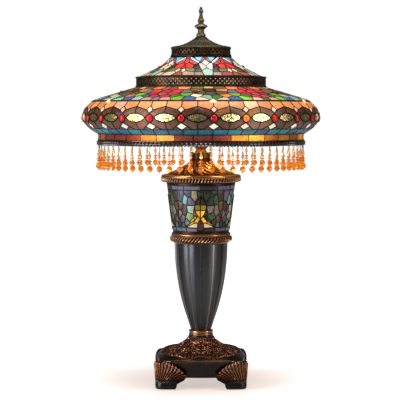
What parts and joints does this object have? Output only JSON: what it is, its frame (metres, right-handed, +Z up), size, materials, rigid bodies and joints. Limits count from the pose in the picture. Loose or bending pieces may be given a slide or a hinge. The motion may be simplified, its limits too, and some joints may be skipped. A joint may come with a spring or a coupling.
{
  "type": "mosaic glass table lamp",
  "caption": "Table lamp with a leaded mosaic-glass shade, pierced galleries, a swinging bead fringe, a lit glass urn and a fluted metal vase on shell feet.",
  "frame": {"origin": "centre of the foot's bounding box, on the floor", "axes": "+Z up the lamp's axis, -Y to the front, +Y to the back where the cord leaves"},
  "size_m": [0.434, 0.434, 0.685],
  "materials": {
    "bronze": "antique, with copper highlights",
    "copper": "antique copper",
    "dark_bronze": "antique, satin",
    "steel": "zinc plated",
    "iron": "as cast",
    "brass": "aged",
    "felt": "matte",
    "black_plastic": "matte",
    "urn_glass": "opalescent mosaic",
    "crown_glass": "opalescent mosaic",
    "dome_glass": "opalescent mosaic",
    "shoulder_glass": "opalescent",
    "belt_glass": "opalescent",
    "blue_glass": "opalescent",
    "amber_glass": "opalescent",
    "eye_glass": "pressed, pale yellow",
    "cabochon_glass": "pressed, red",
    "bulb_glass": "frosted, lit",
    "bulb_base": "bare",
    "braid": "woven, beaded",
    "bead_glass": "faceted, amber and clear"
  },
  "bodies": {
    "stand": {"felt_pads": "felt", "foot_casting": "bronze", "shell_feet": "bronze", "clamp_plate": "steel", "ballast_disc": "iron", "clamp_nut": "steel", "cord_bush": "black_plastic", "neck_collar": "bronze", "fluted_vase": "bronze", "lower_rope_ring": "copper", "urn_channels": "brass", "urn_glass": "urn_glass", "night_bracket": "steel", "night_socket": "black_plastic", "upper_rope_ring": "copper", "vent_bell": "dark_bronze", "socket_cluster": "brass", "lamp_pipe": "steel", "riser_pipe": "steel", "riser_seat_nut": "steel", "finial_stud": "steel", "inner_wire": "black_plastic", "socket_caps": "brass", "socket_cores": "black_plastic", "socket_shells": "brass", "bulb_bases": "bulb_base", "bulbs": "bulb_glass"},
    "switch_left": {"switch_knob_left": "black_plastic"},
    "switch_right": {"switch_knob_right": "black_plastic"},
    "cap": {"heat_cap": "dark_bronze"},
    "shade": {"shade_spider": "brass", "upper_gallery": "dark_bronze", "lower_gallery": "dark_bronze", "crown_glass": "crown_glass", "dome_glass": "dome_glass", "shoulder_glass": "shoulder_glass", "belt_glass": "belt_glass", "blue_glass": "blue_glass", "amber_glass": "amber_glass", "eye_jewels": "eye_glass", "round_cabochons": "cabochon_glass", "rim_channel": "dark_bronze", "fringe_braid": "braid"},
    "finial_body": {"finial": "dark_bronze"},
    "bead_group_01": {"fringe_01": "bead_glass"},
    "bead_group_02": {"fringe_02": "bead_glass"},
    "bead_group_03": {"fringe_03": "bead_glass"},
    "bead_group_04": {"fringe_04": "bead_glass"},
    "bead_group_05": {"fringe_05": "bead_glass"},
    "bead_group_06": {"fringe_06": "bead_glass"},
    "bead_group_07": {"fringe_07": "bead_glass"},
    "bead_group_08": {"fringe_08": "bead_glass"},
    "bead_group_09": {"fringe_09": "bead_glass"},
    "bead_group_10": {"fringe_10": "bead_glass"},
    "bead_group_11": {"fringe_11": "bead_glass"},
    "bead_group_12": {"fringe_12": "bead_glass"},
    "bead_group_13": {"fringe_13": "bead_glass"},
    "bead_group_14": {"fringe_14": "bead_glass"},
    "bead_group_15": {"fringe_15": "bead_glass"},
    "bead_group_16": {"fringe_16": "bead_glass"}
  },
  "joints": [
    {"name": "cap_lift", "type": "slide", "parent": "stand", "child": "cap", "axis": [0, 0, 1], "range_m": [0, 0.26]},
    {"name": "shade_turn", "type": "hinge", "parent": "cap", "child": "shade", "pos_m": [0, 0, 0.594], "axis": [0, 0, 1], "continuous": true},
    {"name": "finial_turn", "type": "hinge", "parent": "cap", "child": "finial_body", "pos_m": [0, 0, 0.64], "axis": [0, 0, 1], "continuous": true},
    {"name": "switch_left_turn", "type": "hinge", "parent": "stand", "child": "switch_left", "pos_m": [-0.04801, -0.023, 0.45729], "axis": [0, -1, 0], "continuous": true},
    {"name": "switch_right_turn", "type": "hinge", "parent": "stand", "child": "switch_right", "pos_m": [0.04801, -0.023, 0.45729], "axis": [0, -1, 0], "continuous": true},
    {"name": "fringe_01_swing", "type": "hinge", "parent": "shade", "child": "bead_group_01", "pos_m": [0.02713, -0.18288, 0.4362], "axis": [0.9892, 0.1467, 0], "range_deg": [-20, 20]},
    {"name": "fringe_02_swing", "type": "hinge", "parent": "shade", "child": "bead_group_02", "pos_m": [0.09505, -0.15858, 0.4362], "axis": [0.8577, 0.5141, 0], "range_deg": [-20, 20]},
    {"name": "fringe_03_swing", "type": "hinge", "parent": "shade", "child": "bead_group_03", "pos_m": [0.1485, -0.11013, 0.4362], "axis": [0.5957, 0.8032, 0], "range_deg": [-20, 20]},
    {"name": "fringe_04_swing", "type": "hinge", "parent": "shade", "child": "bead_group_04", "pos_m": [0.17934, -0.04492, 0.4362], "axis": [0.243, 0.97, 0], "range_deg": [-20, 20]},
    {"name": "fringe_05_swing", "type": "hinge", "parent": "shade", "child": "bead_group_05", "pos_m": [0.18288, 0.02713, 0.4362], "axis": [-0.1467, 0.9892, 0], "range_deg": [-20, 20]},
    {"name": "fringe_06_swing", "type": "hinge", "parent": "shade", "child": "bead_group_06", "pos_m": [0.15858, 0.09505, 0.4362], "axis": [-0.5141, 0.8577, 0], "range_deg": [-20, 20]},
    {"name": "fringe_07_swing", "type": "hinge", "parent": "shade", "child": "bead_group_07", "pos_m": [0.11013, 0.1485, 0.4362], "axis": [-0.8032, 0.5957, 0], "range_deg": [-20, 20]},
    {"name": "fringe_08_swing", "type": "hinge", "parent": "shade", "child": "bead_group_08", "pos_m": [0.04492, 0.17934, 0.4362], "axis": [-0.97, 0.243, 0], "range_deg": [-20, 20]},
    {"name": "fringe_09_swing", "type": "hinge", "parent": "shade", "child": "bead_group_09", "pos_m": [-0.02713, 0.18288, 0.4362], "axis": [-0.9892, -0.1467, 0], "range_deg": [-20, 20]},
    {"name": "fringe_10_swing", "type": "hinge", "parent": "shade", "child": "bead_group_10", "pos_m": [-0.09505, 0.15858, 0.4362], "axis": [-0.8577, -0.5141, 0], "range_deg": [-20, 20]},
    {"name": "fringe_11_swing", "type": "hinge", "parent": "shade", "child": "bead_group_11", "pos_m": [-0.1485, 0.11013, 0.4362], "axis": [-0.5957, -0.8032, 0], "range_deg": [-20, 20]},
    {"name": "fringe_12_swing", "type": "hinge", "parent": "shade", "child": "bead_group_12", "pos_m": [-0.17934, 0.04492, 0.4362], "axis": [-0.243, -0.97, 0], "range_deg": [-20, 20]},
    {"name": "fringe_13_swing", "type": "hinge", "parent": "shade", "child": "bead_group_13", "pos_m": [-0.18288, -0.02713, 0.4362], "axis": [0.1467, -0.9892, 0], "range_deg": [-20, 20]},
    {"name": "fringe_14_swing", "type": "hinge", "parent": "shade", "child": "bead_group_14", "pos_m": [-0.15858, -0.09505, 0.4362], "axis": [0.5141, -0.8577, 0], "range_deg": [-20, 20]},
    {"name": "fringe_15_swing", "type": "hinge", "parent": "shade", "child": "bead_group_15", "pos_m": [-0.11013, -0.1485, 0.4362], "axis": [0.8032, -0.5957, 0], "range_deg": [-20, 20]},
    {"name": "fringe_16_swing", "type": "hinge", "parent": "shade", "child": "bead_group_16", "pos_m": [-0.04492, -0.17934, 0.4362], "axis": [0.97, -0.243, 0], "range_deg": [-20, 20]}
  ]
}
